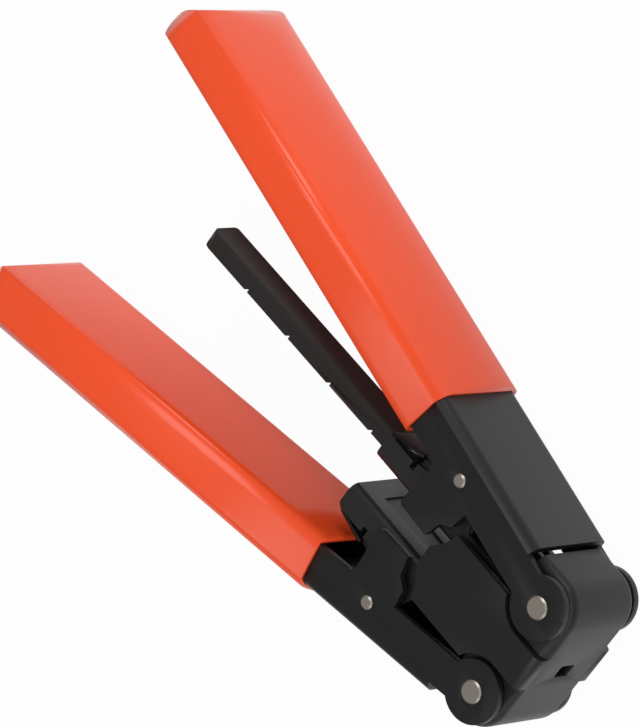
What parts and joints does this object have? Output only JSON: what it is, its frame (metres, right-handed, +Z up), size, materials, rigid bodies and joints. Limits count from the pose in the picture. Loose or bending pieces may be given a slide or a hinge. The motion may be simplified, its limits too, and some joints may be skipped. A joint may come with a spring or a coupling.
{
  "type": "fibre drop cable stripper",
  "caption": "Drop-cable stripping pliers: black pressed-steel head with parallel bladed jaws and a notched guide rail, worked by two dipped orange grips.",
  "frame": {"origin": "bottom centre of the tool's box as it lies on its side with the arms open", "axes": "+X to the nose where the cable enters, +Y to the upper arm, +Z up along the pivot rivets"},
  "size_m": [0.1568, 0.0912, 0.0286],
  "materials": {
    "black_steel": "semi-gloss black coat over pressed steel",
    "jaw_steel": "satin black oxide",
    "rail_steel": "matte black with a brown cast",
    "grip_vinyl": "glossy dipped vinyl",
    "rivet_steel": "satin warm grey",
    "washer_steel": "satin",
    "blade_steel": "ground",
    "screw_steel": "satin",
    "spring_steel": "blued"
  },
  "bodies": {
    "head": {"head_frame": "black_steel", "upper_pivot_rivet": "rivet_steel", "lower_pivot_rivet": "rivet_steel", "upper_pivot_washers": "washer_steel", "lower_pivot_washers": "washer_steel"},
    "upper_arm": {"upper_arm": "black_steel", "upper_grip": "grip_vinyl", "upper_jaw_pin": "rivet_steel", "upper_pin_spacers": "washer_steel"},
    "lower_arm": {"lower_arm": "black_steel", "lower_grip": "grip_vinyl", "lower_jaw_pin": "rivet_steel", "lower_pin_spacers": "washer_steel"},
    "upper_jaw": {"upper_jaw": "jaw_steel", "upper_blade": "blade_steel", "upper_blade_screws": "screw_steel", "upper_return_spring": "spring_steel", "guide_rail": "rail_steel", "rail_rivets": "spring_steel"},
    "lower_jaw": {"lower_jaw": "jaw_steel", "lower_blade": "blade_steel", "lower_blade_screws": "screw_steel", "lower_return_spring": "spring_steel"}
  },
  "joints": [
    {"name": "upper_arm_pivot", "type": "hinge", "parent": "head", "child": "upper_arm", "pos_m": [0.07082, 0.0121, 0.0143], "axis": [0, 0, 1], "range_deg": [0, 5.39], "stiffness_Nm_per_rad": 2, "springref_deg": -8.59},
    {"name": "lower_arm_pivot", "type": "hinge", "parent": "head", "child": "lower_arm", "pos_m": [0.07082, -0.0121, 0.0143], "axis": [0, 0, -1], "range_deg": [0, 5.39]},
    {"name": "upper_jaw_slide", "type": "slide", "parent": "head", "child": "upper_jaw", "axis": [0, -1, 0], "range_m": [0, 0.00291]},
    {"name": "lower_jaw_slide", "type": "slide", "parent": "head", "child": "lower_jaw", "axis": [0, 1, 0], "range_m": [0, 0.00291]}
  ],
  "couplings": [
    {"joint": "lower_arm_pivot", "follows": "upper_arm_pivot", "ratio": 1},
    {"joint": "upper_jaw_slide", "follows": "upper_arm_pivot", "m_per_rad": 0.030936},
    {"joint": "lower_jaw_slide", "follows": "upper_arm_pivot", "m_per_rad": 0.030936}
  ]
}
